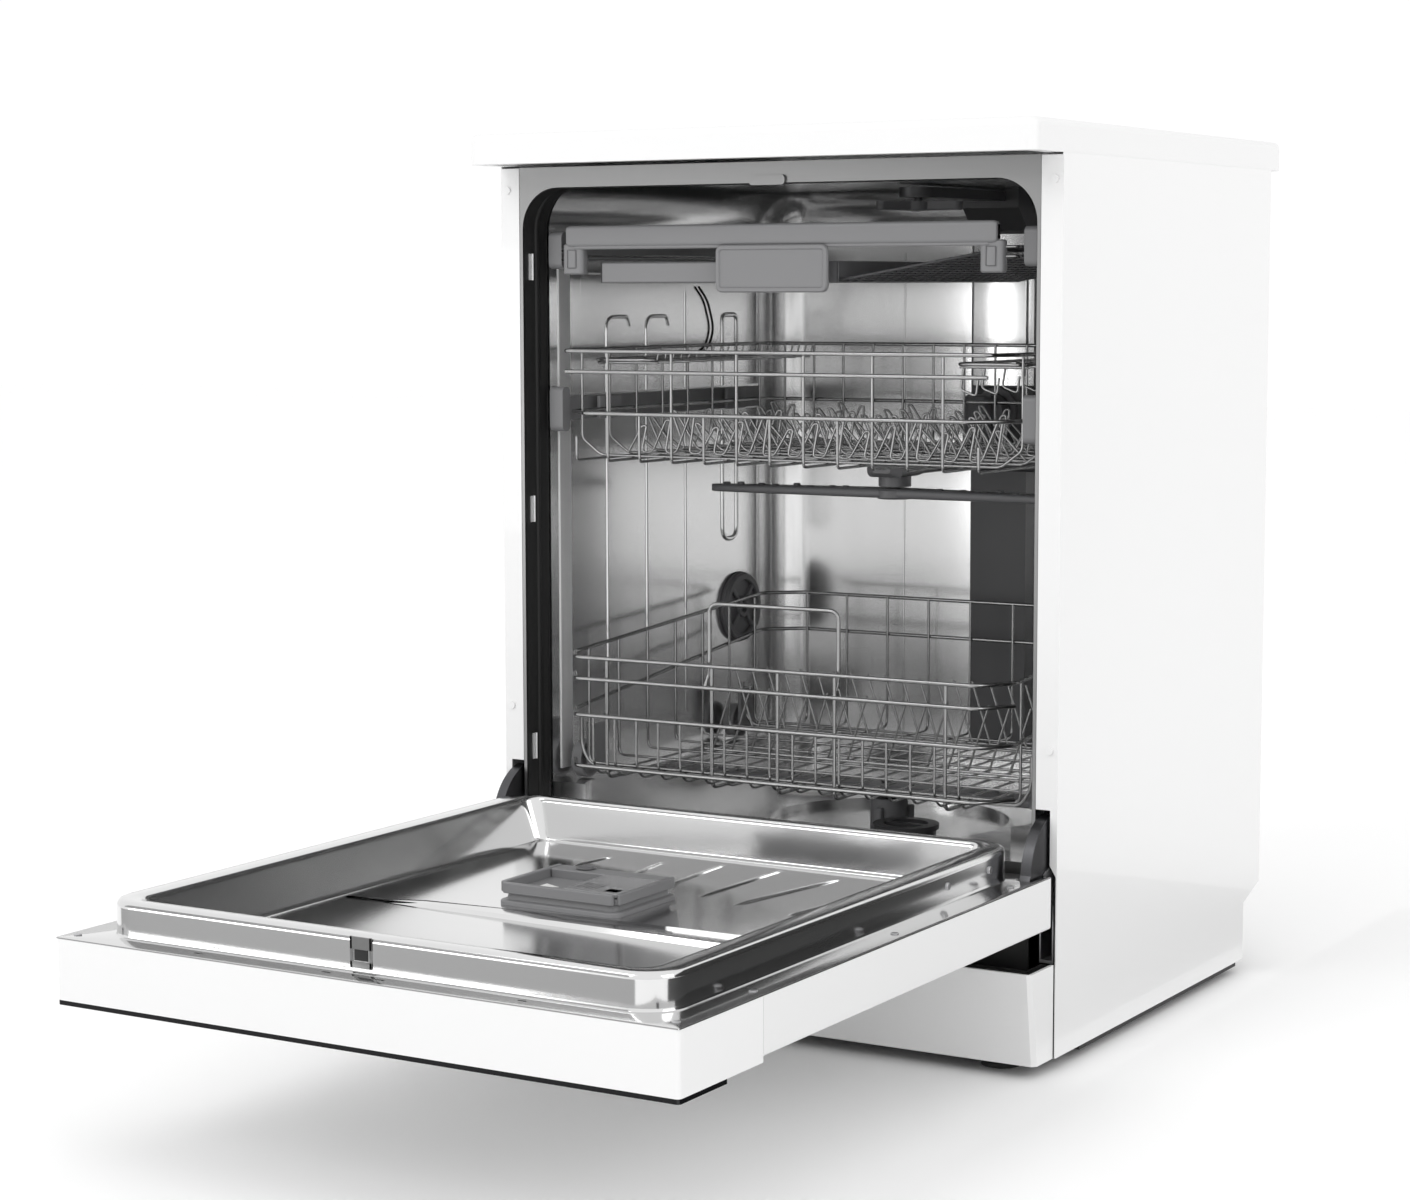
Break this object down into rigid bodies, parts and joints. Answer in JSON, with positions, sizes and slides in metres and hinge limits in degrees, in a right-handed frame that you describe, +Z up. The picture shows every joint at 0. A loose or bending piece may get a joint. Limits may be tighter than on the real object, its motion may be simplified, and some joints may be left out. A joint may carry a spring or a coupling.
{
  "type": "dishwasher",
  "caption": "Free-standing dishwasher with a drop-down door on a low hinge, stainless tub, sliding wire baskets, cutlery tray and spinning spray arms.",
  "frame": {"origin": "on the floor under the middle of the whole machine as stored, with its door open", "axes": "+Z up, -Y towards the user, +X to the user's right as they face the machine"},
  "size_m": [0.598, 1.187, 0.85],
  "materials": {
    "white_worktop": "satin white laminate",
    "white_steel": "white enamel",
    "zinc_steel": "zinc plated",
    "dark_steel": "dark plated",
    "stainless": "satin stainless",
    "black_plastic": "matt",
    "grey_plastic": "satin mid grey",
    "dark_plastic": "matt dark grey",
    "white_plastic": "matt",
    "black_rubber": "matt",
    "black_glass": "high gloss",
    "dark_button": "gloss",
    "counterweight": "rough",
    "felt": "felt",
    "clear_lid": "satin translucent",
    "chrome_wire": "bright"
  },
  "bodies": {
    "cabinet": {"worktop": "white_worktop", "side_panel_left": "white_steel", "side_panel_right": "white_steel", "rear_panel": "zinc_steel", "base_tray": "black_plastic", "plinth": "white_steel", "front_frame": "stainless", "latch_strike": "grey_plastic", "cabinet_screws": "zinc_steel", "tub_wrap": "stainless", "tub_back": "stainless", "tub_floor": "stainless", "door_gasket": "black_rubber", "vent_cap": "grey_plastic", "feed_duct": "dark_plastic", "rail_channels": "stainless", "sump": "dark_plastic", "filter_plate": "stainless", "circulation_pump": "dark_plastic", "drain_pump": "dark_plastic", "salt_container": "white_plastic", "inlet_valve": "white_plastic", "drain_spigot": "grey_plastic", "cable_gland": "black_plastic", "counterweight": "counterweight", "water_break_box": "white_plastic", "hinge_brackets": "zinc_steel", "rear_feet": "black_plastic", "hinge_springs": "zinc_steel"},
    "front_foot_left": {"front_foot_left": "black_plastic"},
    "front_foot_right": {"front_foot_right": "black_plastic"},
    "door": {"door_outer_panel": "white_steel", "control_console": "white_worktop", "console_glass": "black_glass", "door_liner": "stainless", "door_insulation": "felt", "dispenser_body": "grey_plastic", "hinge_arms": "dark_steel"},
    "dispenser_lid": {"dispenser_lid": "clear_lid"},
    "rinse_aid_cap": {"rinse_aid_cap": "grey_plastic"},
    "latch_hook": {"latch_hook": "black_plastic"},
    "power_button": {"power_button": "dark_button"},
    "start_button": {"start_button": "dark_button"},
    "lower_basket": {"lower_basket": "chrome_wire"},
    "front_tines": {"front_tines": "chrome_wire"},
    "rear_tines": {"rear_tines": "chrome_wire"},
    "front_wheels": {"front_wheels": "grey_plastic"},
    "rear_wheels": {"rear_wheels": "grey_plastic"},
    "upper_basket": {"upper_basket": "chrome_wire"},
    "cup_shelf_left": {"cup_shelf_left": "chrome_wire"},
    "cup_shelf_right": {"cup_shelf_right": "chrome_wire"},
    "upper_spray_arm": {"upper_spray_arm": "grey_plastic"},
    "upper_rails": {"upper_rails": "grey_plastic"},
    "cutlery_tray": {"cutlery_tray": "dark_plastic", "tray_front": "grey_plastic"},
    "tray_rails": {"tray_rails": "grey_plastic"},
    "lower_spray_arm": {"lower_spray_arm": "grey_plastic"},
    "ceiling_sprayer": {"ceiling_sprayer": "grey_plastic"},
    "microfilter": {"microfilter": "dark_plastic"},
    "salt_cap": {"salt_cap": "grey_plastic"}
  },
  "joints": [
    {"name": "door_hinge", "type": "hinge", "parent": "cabinet", "child": "door", "pos_m": [0, 0.0455, 0.1785], "axis": [-1, 0, 0], "range_deg": [0, 90]},
    {"name": "dispenser_catch", "type": "hinge", "parent": "door", "child": "rinse_aid_cap", "pos_m": [-0.06, -0.17, 0.1885], "axis": [0, 0, 1], "range_deg": [0, 90]},
    {"name": "dispenser_lid_slide", "type": "slide", "parent": "door", "child": "dispenser_lid", "axis": [-1, 0, 0], "range_m": [0, 0.055]},
    {"name": "latch_pivot", "type": "hinge", "parent": "door", "child": "latch_hook", "pos_m": [-0.0025, -0.563, 0.1945], "axis": [1, 0, 0], "range_deg": [-5, 5], "stiffness_Nm_per_rad": 0.05},
    {"name": "power_press", "type": "slide", "parent": "door", "child": "power_button", "axis": [0, 0, 1], "range_m": [0, 0.001], "stiffness_N_per_m": 400},
    {"name": "start_press", "type": "slide", "parent": "door", "child": "start_button", "axis": [0, 0, 1], "range_m": [0, 0.001], "stiffness_N_per_m": 400},
    {"name": "lower_basket_slide", "type": "slide", "parent": "cabinet", "child": "lower_basket", "axis": [0, 1, 0], "range_m": [-0.45, 0]},
    {"name": "front_wheel_roll", "type": "hinge", "parent": "lower_basket", "child": "front_wheels", "pos_m": [0, 0.13, 0.231], "axis": [1, 0, 0], "continuous": true},
    {"name": "rear_wheel_roll", "type": "hinge", "parent": "lower_basket", "child": "rear_wheels", "pos_m": [0, 0.43, 0.231], "axis": [1, 0, 0], "continuous": true},
    {"name": "front_tines_fold", "type": "hinge", "parent": "lower_basket", "child": "front_tines", "pos_m": [0, 0.2, 0.237], "axis": [-1, 0, 0], "range_deg": [0, 80]},
    {"name": "rear_tines_fold", "type": "hinge", "parent": "lower_basket", "child": "rear_tines", "pos_m": [0, 0.35, 0.237], "axis": [-1, 0, 0], "range_deg": [0, 80]},
    {"name": "upper_basket_slide", "type": "slide", "parent": "cabinet", "child": "upper_basket", "axis": [0, 1, 0], "range_m": [-0.38, 0]},
    {"name": "upper_rails_slide", "type": "slide", "parent": "cabinet", "child": "upper_rails", "axis": [0, 1, 0], "range_m": [-0.19, 0]},
    {"name": "cup_shelf_left_fold", "type": "hinge", "parent": "upper_basket", "child": "cup_shelf_left", "pos_m": [-0.234, 0.275, 0.633], "axis": [0, -1, 0], "range_deg": [0, 75]},
    {"name": "cup_shelf_right_fold", "type": "hinge", "parent": "upper_basket", "child": "cup_shelf_right", "pos_m": [0.234, 0.275, 0.633], "axis": [0, 1, 0], "range_deg": [0, 75]},
    {"name": "upper_spray_spin", "type": "hinge", "parent": "upper_basket", "child": "upper_spray_arm", "pos_m": [0.005, 0.3, 0.498], "axis": [0, 0, 1], "continuous": true},
    {"name": "cutlery_tray_slide", "type": "slide", "parent": "cabinet", "child": "cutlery_tray", "axis": [0, 1, 0], "range_m": [-0.38, 0]},
    {"name": "tray_rails_slide", "type": "slide", "parent": "cabinet", "child": "tray_rails", "axis": [0, 1, 0], "range_m": [-0.19, 0]},
    {"name": "lower_spray_spin", "type": "hinge", "parent": "cabinet", "child": "lower_spray_arm", "pos_m": [0, 0.3, 0.197], "axis": [0, 0, 1], "continuous": true},
    {"name": "ceiling_spray_spin", "type": "hinge", "parent": "cabinet", "child": "ceiling_sprayer", "pos_m": [0.012, 0.335, 0.785], "axis": [0, 0, 1], "continuous": true},
    {"name": "microfilter_twist", "type": "hinge", "parent": "cabinet", "child": "microfilter", "pos_m": [0.045, 0.25, 0.14], "axis": [0, 0, 1], "range_deg": [0, 60]},
    {"name": "salt_cap_turn", "type": "hinge", "parent": "cabinet", "child": "salt_cap", "pos_m": [-0.16, 0.424, 0.17], "axis": [0, 0, 1], "range_deg": [0, 270]},
    {"name": "front_foot_left_turn", "type": "hinge", "parent": "cabinet", "child": "front_foot_left", "pos_m": [-0.245, 0.052, 0.01], "axis": [0, 0, 1], "continuous": true},
    {"name": "front_foot_right_turn", "type": "hinge", "parent": "cabinet", "child": "front_foot_right", "pos_m": [0.245, 0.052, 0.01], "axis": [0, 0, 1], "continuous": true}
  ],
  "couplings": [
    {"joint": "front_wheel_roll", "follows": "lower_basket_slide", "rad_per_m": -52.632},
    {"joint": "rear_wheel_roll", "follows": "lower_basket_slide", "rad_per_m": -52.632},
    {"joint": "upper_rails_slide", "follows": "upper_basket_slide", "ratio": 0.5},
    {"joint": "tray_rails_slide", "follows": "cutlery_tray_slide", "ratio": 0.5}
  ]
}
